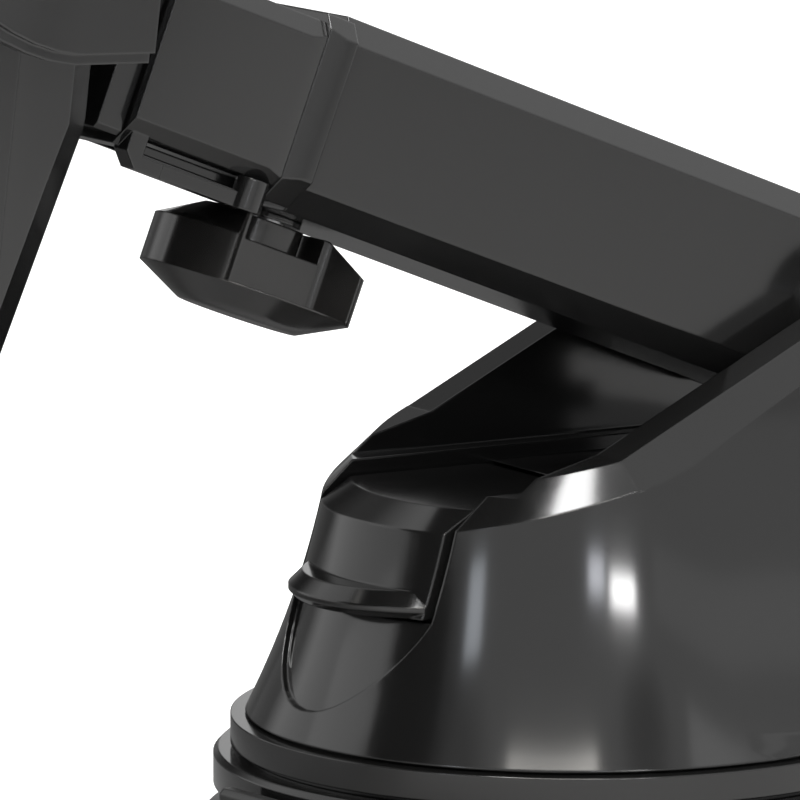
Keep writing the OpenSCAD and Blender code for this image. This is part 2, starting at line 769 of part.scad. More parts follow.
module dome_shell() {
    color(black) difference() {
        union() {
            difference() {
                union() {
                    intersection() {
                        raised_body(pivot_z + ear_r);
                        union() {
                            intersection() {
                                under_rims();
                                mid_span([-front_rim_from, far], far, [-far, 2 * far]);
                            }
                            under_front();
                        }
                    }
                    cheek_ears();
                }
                rotate_extrude() polygon(concat([[0, dome_z - 1], [dome_base_r - dome_wall, dome_z - 1]],
                    dome_points(dome_z, ceiling_z, dome_wall, 12), [[0, ceiling_z]]));
                mid_span([-far, far], slot_w / 2, [ledge_z, far + floor_z]);
                mid_span([-far, far], opening_half, [floor_z, far + floor_z]);
            }
            lever_bosses();
            screw_bosses();
        }
        mid_span([-far, -lever_pin_x], opening_half, [opening_z, far]);
        rod_y(-lever_pin_x, lever_z, [-opening_half, opening_half], lever_hub_r + hub_gap);
        recess_cut();
        rod_y(-lever_pin_x, lever_z, [-boss_y1 + 1, boss_y1 - 1], lever_pin_r + seat_gap);
        rod_y(pivot_x, pivot_z, [-far, far], bolt_r + seat_gap);
        both_sides() rod_y(pivot_x, pivot_z, [bolt_seat_y, far], bolt_head_r + 0.2);
        base_screw_places() rod_z(0, 0, [dome_z - 1, dome_z + screw_boss_h - 1], base_screw_r + seat_gap);
        rotate_extrude() polygon([[dome_base_r - groove_d, dome_z - 1], [dome_base_r + 1, dome_z - 1],
            [dome_base_r + 1, dome_z + groove_h], [dome_base_r - groove_d, dome_z + groove_h]]);
    }
}

module lever_pins() {
    color(steel) both_sides() rod_y(-lever_pin_x, lever_z, [rod_space + 1, boss_y1 - 1], lever_pin_r);
}

module pivot_bolt() {
    color(steel) {
        rod_y(pivot_x, pivot_z, [-bolt_seat_y, bolt_seat_y + bolt_head_t], bolt_r);
        difference() {
            rod_y(pivot_x, pivot_z, [-bolt_seat_y - bolt_head_t, -bolt_seat_y + eps], bolt_head_r);
            rod_y(pivot_x, pivot_z, [-far, -bolt_seat_y - 0.8], bolt_r, 6);
        }
    }
}

module pivot_nut() {
    color(steel) difference() {
        rod_y(pivot_x, pivot_z, [bolt_seat_y, bolt_seat_y + bolt_head_t], bolt_head_r, 6);
        rod_y(pivot_x, pivot_z, [-far, far], bolt_r + seat_gap);
    }
}

module pivot_caps() {
    color(black_trim) both_sides() {
        rod_y(pivot_x, pivot_z, [ear_y - cap_t, ear_y], bolt_head_r + 0.2 - seat_gap);
        rod_y(pivot_x, pivot_z, [ear_y - eps, ear_y + 0.3], bolt_head_r - 0.8);
    }
}

module friction_washers() {
    color(nylon) both_sides() difference() {
        rod_y(pivot_x, pivot_z, [arm_w / 2, slot_w / 2], ear_r);
        rod_y(pivot_x, pivot_z, [0, far], bolt_r + run_gap);
    }
}

// Lever and pull rod

// Finger lip: a disc edge that stands out furthest in the lever's middle
module lever_lip() {
    bevel = 0.7;
    top = lip_z + lip_h;
    intersection() {
        difference() {
            translate([lip_r - dome_r(lip_z + lip_h / 2) - lip_out, 0, 0]) rotate_extrude()
                polygon([[0, lip_z], [lip_r - bevel, lip_z], [lip_r, lip_z + bevel],
                    [lip_r, top - 2 * bevel], [lip_r - 2 * bevel, top], [0, top]]);
            rod_z(0, 0, [0, far], dome_r(lip_z) - lever_wall - 1);
        }
        mid_span([-far, 0], lever_half, [lip_z, top]);
    }
}

module cam_lever() {
    color(black) difference() {
        union() {
            intersection() {
                difference() {
                    drum(0, floor_z);
                    drum(lever_wall, floor_z - lever_wall);
                }
                mid_span([-far, -lever_pin_x], lever_half, [lip_z, far]);
            }
            lever_lip();
            rod_y(-lever_pin_x, lever_z, [-lever_half, lever_half], lever_hub_r);
        }
        mid_span([-lever_pin_x - lever_hub_r - 1, far], rod_space, [0, floor_z - 1.8]);
        rod_y(-lever_pin_x, lever_z, [-far, far], lever_pin_r + run_gap);
        rod_y(0, lever_z, [-rod_space - 3, rod_space + 3], rod_pin_r + seat_gap);
    }
}

module rod_pin() {
    color(steel) rod_y(0, lever_z, [-rod_space - 2.8, rod_space + 2.8], rod_pin_r);
}

module pull_rod() {
    slot_half = rod_pin_r + 0.3;
    slot_front = 2.4;
    color(steel) difference() {
        union() {
            rod_z(0, 0, [rod_foot_z, rod_foot_z + rod_foot_t], rod_foot_r);
            rod_z(0, 0, [rod_foot_z + eps, rod_head_z + eps], rod_r);
            mid_span([-slot_front - 1, slot_half + 1.1], rod_head_half, [rod_head_z, rod_head_top]);
        }
        mid_span([-slot_front, slot_half], far, [lever_z - slot_half, lever_z + slot_half]);
    }
}

module rod_spring() {
    color(steel) coil(rod_r + rod_wire_r + 0.3, rod_wire_r, [dome_z + 0.1, rod_head_z - 0.1], 6);
}

// Arm and clamp

// Hollow for the inner arm
module arm_hollow(x) {
    chamfered_bar(x, hollow_half, hollow_z, inner_chamfer);
}

module arm_tube() {
    color(black) arm_frame() difference() {
        union() {
            chamfered_bar([0, arm_len], arm_w / 2, [-arm_h / 2, arm_h / 2], arm_chamfer);
            rod_y(0, 0, [-arm_w / 2, arm_w / 2], arm_h / 2);
        }
        arm_hollow([hollow_at, far + arm_len]);
        rod_y(0, 0, [-far, far], bolt_r + run_gap + bushing_wall + seat_gap);
        rod_z(screw_at, 0, [-far, 0], insert_r + seat_gap);
    }
}

module hub_bushing() {
    color(nylon) arm_frame() difference() {
        rod_y(0, 0, [-arm_w / 2, arm_w / 2], bolt_r + run_gap + bushing_wall);
        rod_y(0, 0, [-far, far], bolt_r + run_gap);
    }
}

// Collar section with its own upper and lower chamfers
module collar_bar(x, top) {
    half = collar_w / 2;
    c = collar_chamfer;
    k = collar_low_chamfer;
    along_x(x) polygon([[-half + k, -collar_bottom], [half - k, -collar_bottom], [half, -collar_bottom + k],
        [half, top - c], [half - c, top], [-half + c, top], [-half, top - c], [-half, -collar_bottom + k]]);
}

// Plan that draws in both sides of a bar beside the seam
module seam_plan(x0, x1, seam_first) {
    half = collar_w / 2;
    a = seam_first ? half - seam_depth : half;
    b = seam_first ? half : half - seam_depth;
    mid = seam_first ? x0 + seam_bevel : x1 - seam_bevel;
    translate([0, 0, -far / 2]) linear_extrude(far)
        polygon([[x0, -a], [mid, -half], [x1, -b], [x1, b], [mid, half], [x0, a]]);
}

module arm_flange() {
    color(black_trim) arm_frame() difference() {
        intersection() {
            collar_bar([flange_x, collar_x], flange_top);
            seam_plan(flange_x, collar_x, false);
        }
        arm_hollow([0, far + arm_len]);
    }
}

// Narrow tongue under the collar's near edge, from its root to the post
module collar_tongue() {
    root_x = collar_end - 0.85;
    bevel = 1.4;
    root_z = slit_top + 1.2;
    seam_x = root_x - tongue_seam;
    face = tongue_y - 0.15;
    across_y([tongue_y - tongue_w, tongue_y]) polygon([[root_x - tongue_root, root_z], [root_x, root_z],
        [root_x, tongue_top], [root_x - bevel, tongue_low], [root_x - tongue_root, tongue_low]]);
    translate([0, 0, tongue_low]) linear_extrude(tongue_t) polygon([[root_x - tongue_root + eps, tongue_y],
        [seam_x, tongue_y], [seam_x, face], [post_at[0], face], [post_at[0], post_at[1] - post_r - 0.6],
        [root_x - tongue_root + eps, tongue_y - tongue_w]]);
}

module clamp_collar() {
    slit_end = collar_end - tongue_root - 0.85;
    color(black) arm_frame() difference() {
        union() {
            difference() {
                intersection() {
                    collar_bar([collar_x, collar_end], collar_top);
                    seam_plan(collar_x, collar_end, true);
                }
                span([collar_x - 1, slit_y, -far], [slit_end, far, slit_top]);
                span([collar_x - 1, -far, -far], [slit_end, slit_y - slit_rib, hollow_z[0]]);
            }
            collar_tongue();
        }
        arm_hollow([0, far + arm_len]);
        rod_z(post_at[0], post_at[1], [-far, tongue_top + slit_h / 2], post_r + seat_gap);
    }
}

// Post in the notch at the tongue's free end, up to the top of the slit
module collar_post() {
    color(black_trim) arm_frame() rod_z(post_at[0], post_at[1], [tongue_low, slit_top - 0.05], post_r);
}

module clamp_insert() {
    color(brass) arm_frame() difference() {
        union() {
            rod_z(screw_at, 0, [-arm_h / 2 - 0.6, -arm_h / 2], insert_r + 0.8);
            rod_z(screw_at, 0, [-arm_h / 2 - eps, hollow_z[0]], insert_r);
        }
        rod_z(screw_at, 0, [-far, 0], screw_r + run_gap);
    }
}

module pressure_pad() {
    color(nylon) arm_frame() rod_z(screw_at, 0, [screw_top, pad_top], pad_r);
}

// Waist cuts of the knob, with rounded shoulders
module knob_waist_plan() {
    fillet = 1.2;
    sweep = 56;
    reach = knob_r + 2;
    edge = [for (i = [0 : 6]) let (a = sweep * i / 6)
        [knob_flat + fillet * sin(a), knob_waist + fillet * (1 - cos(a))]];
    out_x = edge[6][0] + (reach - edge[6][1]) / tan(sweep);
    both_sides() polygon(concat(edge, [[out_x, reach], [-out_x, reach]],
        [for (i = [6 : -1 : 0]) [-edge[i][0], edge[i][1]]]));
}

// Oblong plan of the knob's hub
module knob_hub_plan() {
    end = [for (i = [-6 : 6]) [knob_hub_flat + knob_hub_r * cos(15 * i), knob_hub_r * sin(15 * i)]];
    polygon(concat(end, [for (point = end) [-point[0], -point[1]]]));
}

module clamp_knob() {
    low_r = knob_r - knob_low_chamfer[0];
    top_r = knob_r - knob_top_chamfer[0];
    z0 = knob_top - knob_h;
    waist_z = knob_low_chamfer[1] + 0.2;
    web_z = knob_low_chamfer[1] + knob_wall_h;
    color(black) arm_frame() translate([screw_at, 0, z0]) rotate([0, 0, knob_turn]) difference() {
        union() {
            difference() {
                rotate_extrude() polygon([[0, 0], [low_r, 0], [knob_r, knob_low_chamfer[1]],
                    [knob_r, web_z], [top_r, knob_h], [0, knob_h]]);
                translate([0, 0, waist_z]) linear_extrude(far) knob_waist_plan();
                mid_span([-knob_flat, knob_flat], far, [web_z, far]);
            }
            translate([0, 0, web_z - eps]) linear_extrude(knob_h - web_z + eps) knob_hub_plan();
        }
        rod_z(0, 0, [knob_h / 3, far], screw_r + seat_gap);
    }
}

module clamp_screw() {
    z0 = knob_top - knob_h * 2 / 3;
    color(steel) arm_frame() rod_z(screw_at, 0, [z0 + seat_gap, screw_top], screw_r);
}

// Inner arm and ball joint

module inner_arm() {
    half = inner_w / 2;
    w = inner_wall;
    color(black) arm_frame() difference() {
        union() {
            chamfered_bar([inner_start, inner_end], half, inner_z, inner_chamfer);
            chamfered_bar([collar_end + head_gap, inner_end], head_w / 2, [-head_low, inner_z[1]],
                head_chamfer);
        }
        mid_span([inner_start - 1, inner_end - neck_seat - 2], half - w, [inner_z[0] + w, inner_z[1] - w]);
        mid_span([inner_start - 1, inner_end - neck_seat], pad_r + 0.4, [-far, inner_z[0] + groove_under]);
        rod_x([inner_end - neck_seat, far + inner_end], 0, 0, neck_r + seat_gap);
    }
}

module arm_stop() {
    w = inner_wall + seat_gap;
    color(nylon) arm_frame() difference() {
        union() {
            chamfered_bar([inner_start - stop_len, inner_start], inner_w / 2, inner_z, inner_chamfer);
            mid_span([inner_start - eps, inner_start + stop_plug], inner_w / 2 - w,
                [inner_z[0] + w, inner_z[1] - w]);
        }
        mid_span([0, inner_start + eps], pad_r + 0.4, [-far, inner_z[0] + groove_under]);
    }
}

module ball_stud() {
    color(steel) arm_frame() union() {
        translate([ball_at, 0, 0]) sphere(r = ball_r);
        rod_x([inner_end - neck_seat + seat_gap, ball_at], 0, 0, neck_r);
    }
}

module socket_liner() {
    back = 1.7;
    front = 5;
    color(nylon) holder_frame() intersection() {
        difference() {
            sphere(r = liner_out);
            sphere(r = liner_in);
        }
        rod_x([-back, front], 0, 0, far);
    }
}

module seat_ring() {
    color(steel) holder_frame() difference() {
        rod_x([-ring_step + 0.1, -ring_step + 0.1 + seat_t], 0, 0, socket_in - socket_gap);
        rod_x([-far, far], 0, 0, ring_hole_r + 0.2);
    }
}

module ring_nut() {
    grip_count = 24;
    grip_r = 0.7;
    front = rear_at - 0.2;
    bevel = 0.8;
    color(black_trim) holder_frame() difference() {
        rotate([0, 90, 0]) rotate_extrude() polygon([[ring_hole_r, -ring_step],
            [ring_hole_r + 1.2, -ring_back], [ring_out - ring_bevel, -ring_back],
            [ring_out, -ring_back + ring_bevel], [ring_out, front],
            [ring_in, front], [ring_in, -ring_step]]);
        for (i = [0 : grip_count - 1]) rotate([360 * i / grip_count, 0, 0])
            rod_x([-ring_back + ring_bevel + bevel, front - bevel], 0, ring_out + 0.3, grip_r, 24);
    }
}

// Cradle

// Plan of the cradle in x and y, with stepped rear corners
module cradle_plan(front, half) {
    polygon([[0, -half + corner_in], [corner_step, -half + corner_lip], [corner_end, -half], [front, -half],
        [front, half], [corner_end, half], [corner_step, half - corner_lip], [0, half - corner_in]]);
}

// Front outline of the cradle in y and z
module cradle_outline() {
    half = cradle_half;
    low = cradle_low_w / 2;
    top_in = half - top_corner;
    top_low = cradle_up - top_corner;
    foot_in = low - foot_corner;
    foot_up = foot_corner - cradle_down;
    polygon([[-half, top_low], [-top_in, cradle_up], [top_in, cradle_up], [half, top_low],
        [half, -narrow_from], [low, foot_up], [foot_in, -cradle_down], [-foot_in, -cradle_down],
        [-low, foot_up], [-half, -narrow_from]]);
}

module cradle_body(x) {
    intersection() {
        along_x(x) cradle_outline();
        translate([rear_at, 0, -2 * cradle_down]) linear_extrude(2 * cradle_down + 2 * cradle_up)
            cradle_plan(far, cradle_half);
        translate([rear_at, 0, -taper_from]) rotate([0, -taper_angle, 0])
            translate([0, 0, -2 * cradle_down]) linear_extrude(2 * cradle_down + 2 * cradle_up)
                cradle_plan(far, cradle_half + 0.2);
    }
}

module cradle_screw_holes(x, r) {
    for (p = cradle_screw_places) rod_x(x, p[0], p[1], r);
}

module key_pocket(gap) {
    half_h = key_h / 2 + gap;
    half_d = key_d / 2 + gap;
    mid_x = rear_at + back_t - 3;
    span([mid_x - half_d, cradle_half - key_len - button_travel - 0.3, key_up - half_h],
        [mid_x + half_d, far, key_up + half_h]);
}

module cradle_back() {
    color(black) holder_frame() difference() {
        union() {
            cradle_body([rear_at - 1, split_at]);
            rod_x([-ring_step + seat_t + 0.3, split_at], 0, 0, socket_out);
        }
        sphere(r = socket_in);
        rod_x([-far, 0], 0, 0, socket_in);
        cradle_screw_holes([-far, far], cradle_screw_r + seat_gap);
        cradle_screw_holes([-far, rear_at + screw_sink + cradle_head_t], 2 * cradle_screw_r + 0.2);
        rod_x([split_at - 2, far], 0, pinion_up, pinion_pin_r + seat_gap);
        both_sides() key_pocket(button_gap);
        difference() {
            rod_x([rear_at - 2, rear_at + 0.0], 0, 0, ring_out + 0.6);
            rod_x([-far, far], 0, 0, socket_out);
        }
    }
}

module trigger_hole(gap) {
    mid_span([split_at - eps, far], trigger_w + gap, [trigger_up - trigger_h - gap, trigger_up + gap]);
}

module cradle_front() {
    rack_z = pitch_r + tooth_root + rack_h + rack_gap;
    groove_x = face_at - slider_groove;
    color(black) holder_frame() difference() {
        cradle_body([split_at, face_at]);
        mid_span([split_at - 1, rack_channel], far, [pinion_up - rack_z, pinion_up + rack_z]);
        trigger_hole(button_gap);
        cradle_screw_holes([0, face_at - screw_cover], cradle_screw_r + seat_gap);
        rod_x([0, rack_channel + 1], 0, pinion_up, pinion_pin_r + seat_gap);
        mid_span([groove_x, groove_x + slider_t + 0.4], slider_w + 0.3, [-far, slider_top + 0.4]);
        mid_span([groove_x, far], slider_neck + 0.3, [-far, slider_top + 0.4]);
    }
}

module front_pad() {
    top = cradle_up - pad_drop;
    color(rubber) holder_frame() difference() {
        along_x([face_at, pad_at]) polygon([[-pad_half + pad_corner, top], [pad_half - pad_corner, top],
            [pad_half, top - pad_corner], [pad_half, -pad_down], [-pad_half, -pad_down],
            [-pad_half, top - pad_corner]]);
        trigger_hole(button_gap);
    }
}

module cradle_screws() {
    head_x = rear_at + screw_sink;
    shank_x = head_x + cradle_head_t;
    color(steel) holder_frame() for (p = cradle_screw_places) {
        rod_x([shank_x - eps, face_at - screw_cover - screw_tip_gap], p[0], p[1], cradle_screw_r);
        difference() {
            rod_x([head_x, shank_x], p[0], p[1], 2 * cradle_screw_r);
            rod_x([-far, head_x + screw_socket], p[0], p[1], cradle_screw_r, 6);
        }
    }
}

module pinion_pin() {
    color(steel) holder_frame() rod_x([split_at - 1.9, rack_channel + 0.9], 0, pinion_up, pinion_pin_r);
}

// Rack bar with teeth on its lower edge, at a height above the pinion's middle
module rack_bar(y) {
    slack = 0.3;
    root = pitch_r + tooth_root;
    tip = pitch_r - 0.65 * tooth_module;
    root_half = tooth_pitch * 0.38;
    tip_half = tooth_pitch * 0.12;
    first = ceil((y[0] + tooth_pitch / 2) / tooth_pitch);
    last = floor((jaw_close + 2 * tooth_pitch) / tooth_pitch);
    along_x([rack_x, rack_x + rack_t]) {
        polygon([[y[0], root], [y[1], root], [y[1], root + rack_h], [y[0], root + rack_h]]);
        for (i = [first : last]) translate([i * tooth_pitch, 0])
            polygon([[-root_half + slack, root + eps], [root_half - slack, root + eps], [tip_half, tip],
                [-tip_half, tip]]);
    }
}

module rack_pinion() {
    root = pitch_r - tooth_root;
    tip = pitch_r + 0.75 * tooth_module;
    root_half = tooth_pitch * 0.33;
    tip_half = tooth_pitch * 0.1;
    color(nylon) holder_frame() translate([0, 0, pinion_up]) difference() {
        union() {
            rod_x([rack_x, rack_x + rack_t], 0, 0, root + 0.1);
            along_x([rack_x, rack_x + rack_t]) for (i = [0 : pinion_teeth - 1])
                rotate(360 * (i + 0.5) / pinion_teeth + 90)
                    polygon([[root - 0.3, -root_half], [tip, -tip_half], [tip, tip_half],
                        [root - 0.3, root_half]]);
        }
        rod_x([0, far], 0, 0, pinion_pin_r + run_gap);
    }
}

// Round front of a jaw in x and y, between two radii and two angles, after any points that lead in
module jaw_arc(outer_r, inner_r, from, to, lead = []) {
    steps = 12;
    angles = [for (i = [0 : steps]) from + (to - from) * i / steps];
    back = [for (i = [steps : -1 : 0]) angles[i]];
    translate([jaw_x1, jaw_mid]) polygon(concat(lead, [for (a = angles) outer_r * [cos(a), sin(a)]],
        [for (a = back) inner_r * [cos(a), sin(a)]]));
}

// Side outline of a jaw in x and z, with rounded front corners, drawn in by an inset
module jaw_side_outline(inset) {
    low = -jaw_down + inset;
    high = -jaw_down + jaw_h - inset;
    r = jaw_round_r - inset;
    front = jaw_x1 + jaw_round_r - inset;
    steps = 10;
    polygon(concat([[jaw_x0 - eps, low + jaw_rise]],
        [for (i = [0 : steps]) let (a = 90 * i / steps) [front - r + r * sin(a), low + r - r * cos(a)]],
        [for (i = [0 : steps]) let (a = 90 * i / steps) [front - r + r * cos(a), high - r + r * sin(a)]],
        [[jaw_x0 - eps, high]]));
}

// Jaw wall in plan: flat side, then a round front that reaches over the phone
module jaw_wall_plan(outer) {
    inner_r = jaw_round_r - jaw_wall;
    outer_r = outer - jaw_mid;
    translate([0, 0, -far]) linear_extrude(3 * far)
        jaw_arc(outer_r, inner_r, 90, 90 - jaw_sweep, [[-jaw_side, inner_r], [-jaw_side, outer_r]]);
}

// Jaw wall with a step at its outer upper and lower edges
module jaw_wall_shape() {
    intersection() {
        jaw_wall_plan(jaw_out);
        across_y([0, far]) jaw_side_outline(jaw_chamfer);
    }
    intersection() {
        jaw_wall_plan(jaw_out - jaw_chamfer);
        across_y([0, far]) jaw_side_outline(0);
    }
}

// Jaw on the +y side of its frame, with its rack above the pinion
module jaw_shape() {
    jaw_wall_shape();
    translate([0, 0, pinion_up]) rack_bar([-rack_past, jaw_in + eps]);
}

module jaw_pad_shape() {
    border = 2;
    inner_r = jaw_round_r - jaw_wall - 0.05;
    start = acos((pad_at + 0.6 - jaw_x1) / inner_r);
    intersection() {
        translate([0, 0, -jaw_down + border]) linear_extrude(jaw_h - 2 * border)
            jaw_arc(inner_r, inner_r - jaw_pad_t, start, 90 - jaw_sweep);
        across_y([0, far]) jaw_side_outline(border);
    }
}

// Half turn about the pinion's axis
module other_side() {
    translate([0, 0, pinion_up]) rotate([180, 0, 0]) translate([0, 0, -pinion_up]) children();
}

module right_jaw() {
    color(black) holder_frame() jaw_shape();
}

module right_jaw_pad() {
    color(rubber) holder_frame() jaw_pad_shape();
}

module left_jaw() {
    color(black) holder_frame() {
        mirror([0, 1, 0]) jaw_wall_shape();
        other_side() translate([0, 0, pinion_up]) rack_bar([-rack_past, jaw_in + eps]);
    }
}

module left_jaw_pad() {
    color(rubber) holder_frame() mirror([0, 1, 0]) jaw_pad_shape();
}

// Buttons and foot

module trigger_button() {
    color(black_trim) holder_frame()
        mid_span([trigger_x, trigger_x + trigger_t], trigger_w, [trigger_up - trigger_h, trigger_up]);
}

module trigger_spring() {
    color(steel) holder_frame() translate([split_at, 0, trigger_up - trigger_h / 2]) rotate([0, 90, 0])
        coil(3, 0.3, [0.1, trigger_x - split_at - 0.1], 3);
}

module key_shape() {
    mid_x = rear_at + back_t - 3;
    span([mid_x - key_d / 2, cradle_half - key_len, key_up - key_h / 2],
        [mid_x + key_d / 2, cradle_half + key_out, key_up + key_h / 2]);
}

module right_key() {
    color(black_trim) holder_frame() key_shape();
}

module left_key() {
    color(black_trim) holder_frame() mirror([0, 1, 0]) key_shape();
}

module key_spring_shape() {
    mid_x = rear_at + back_t - 3;
    inner_y = cradle_half - key_len - button_travel - 0.3;
    translate([mid_x, inner_y, key_up]) rotate([-90, 0, 0])
        coil(1.2, 0.25, [0.05, button_travel + 0.25], 2);
}

module right_key_spring() {
    color(steel) holder_frame() key_spring_shape();
}

module left_key_spring() {
    color(steel) holder_frame() mirror([0, 1, 0]) key_spring_shape();
}

module foot_slider() {
    groove_x = face_at - slider_groove + 0.2;
    tray_x = face_at + foot_out;
    color(black) holder_frame() {
        mid_span([groove_x, groove_x + slider_t], slider_w, [-foot_down, slider_top]);
        mid_span([groove_x, face_at], slider_neck, [-foot_down, slider_top]);
        mid_span([groove_x, tray_x], foot_w, [-foot_down - foot_t, -foot_down]);
        mid_span([tray_x - foot_t, tray_x], foot_w, [-foot_down - eps, -foot_down + foot_lip]);
    }
}

module foot_pad() {
    color(rubber) holder_frame() mid_span([face_at + 1, face_at + foot_out - foot_t - 0.3], foot_w - 2,
        [-foot_down, -foot_down + foot_pad_t]);
}

suction_cup();
lower_ring();
trim_ring();
base_plate();
base_screws();
dome_shell();
lever_pins();
pivot_bolt();
pivot_nut();
pivot_caps();
friction_washers();
cam_lever();
rod_pin();
pull_rod();
rod_spring();
arm_tube();
hub_bushing();
arm_flange();
clamp_collar();
collar_post();
clamp_insert();
pressure_pad();
clamp_knob();
clamp_screw();
inner_arm();
arm_stop();
ball_stud();
socket_liner();
seat_ring();
cradle_back();
cradle_front();
front_pad();
cradle_screws();
pinion_pin();
ring_nut();
right_jaw();
right_jaw_pad();
left_jaw();
left_jaw_pad();
rack_pinion();
trigger_button();
trigger_spring();
right_key();
left_key();
right_key_spring();
left_key_spring();
foot_slider();
foot_pad();
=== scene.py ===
"""Looks of a car phone mount: suction base, telescopic arm, ball joint and phone cradle.

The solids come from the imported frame. This script dresses them with moulded plastic, rubber and
metal, and lights them in a plain white studio.
"""

import json
import logging
import math
from dataclasses import dataclass, field
from enum import Enum
from typing import Any, Iterable, Union

import bpy
from mathutils import Matrix, Vector

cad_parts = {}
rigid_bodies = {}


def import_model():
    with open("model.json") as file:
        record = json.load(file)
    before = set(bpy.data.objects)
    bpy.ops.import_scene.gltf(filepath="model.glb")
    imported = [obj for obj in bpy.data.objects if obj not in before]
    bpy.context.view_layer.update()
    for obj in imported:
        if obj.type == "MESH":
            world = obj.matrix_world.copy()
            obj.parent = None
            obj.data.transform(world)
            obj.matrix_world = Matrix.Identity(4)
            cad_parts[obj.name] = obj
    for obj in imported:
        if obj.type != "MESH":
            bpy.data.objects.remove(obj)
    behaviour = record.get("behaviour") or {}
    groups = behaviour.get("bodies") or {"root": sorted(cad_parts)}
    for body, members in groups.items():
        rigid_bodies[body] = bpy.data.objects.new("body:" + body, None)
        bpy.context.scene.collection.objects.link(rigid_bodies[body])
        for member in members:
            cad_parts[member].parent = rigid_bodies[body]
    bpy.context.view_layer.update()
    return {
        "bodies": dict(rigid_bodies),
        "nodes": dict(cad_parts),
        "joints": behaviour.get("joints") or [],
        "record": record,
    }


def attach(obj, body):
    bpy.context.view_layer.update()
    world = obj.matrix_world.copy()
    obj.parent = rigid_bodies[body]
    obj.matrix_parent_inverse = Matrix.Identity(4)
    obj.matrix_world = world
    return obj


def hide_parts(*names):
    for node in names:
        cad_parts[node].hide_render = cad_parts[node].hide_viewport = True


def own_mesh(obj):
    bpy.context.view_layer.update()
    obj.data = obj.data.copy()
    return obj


logging.basicConfig(level=logging.INFO, format="%(message)s")
LOG = logging.getLogger("phone_mount")

MM = 0.001
EDGE_SAMPLES = 8

Colour = tuple[float, float, float]
Number = Union[float, "Value"]


class Channel(Enum):
    """Inputs of the surface shader that this script sets or links."""

    COLOUR = "Base Color"
    ROUGHNESS = "Roughness"
    METALLIC = "Metallic"
    NORMAL = "Normal"


class Value:
    """A socket of a node graph, with Python's operators for the maths on it."""

    def __init__(self, graph: "Graph", socket: bpy.types.NodeSocket) -> None:
        """Wraps a socket.

        Args:
            graph: The graph that holds the socket.
            socket: The output socket.
        """
        self.graph = graph
        self.socket = socket

    def __add__(self, other: Number) -> "Value":
        """Sum of two values."""
        return self.graph.maths("ADD", self, other)

    def __radd__(self, other: float) -> "Value":
        """Sum with a number on the left."""
        return self.graph.maths("ADD", other, self)

    def __sub__(self, other: Number) -> "Value":
        """Difference of two values."""
        return self.graph.maths("SUBTRACT", self, other)

    def __rsub__(self, other: float) -> "Value":
        """Difference with a number on the left."""
        return self.graph.maths("SUBTRACT", other, self)

    def __mul__(self, other: Number) -> "Value":
        """Product of two values."""
        return self.graph.maths("MULTIPLY", self, other)

    def __rmul__(self, other: float) -> "Value":
        """Product with a number on the left."""
        return self.graph.maths("MULTIPLY", other, self)

    def __truediv__(self, other: Number) -> "Value":
        """Quotient of two values."""
        return self.graph.maths("DIVIDE", self, other)

    def __rtruediv__(self, other: float) -> "Value":
        """Quotient with a number on the left."""
        return self.graph.maths("DIVIDE", other, self)

    def clamp(self, low: float, high: float) -> "Value":
        """The value kept between two numbers."""
        return self.graph.maths("MAXIMUM", self.graph.maths("MINIMUM", self, high), low)


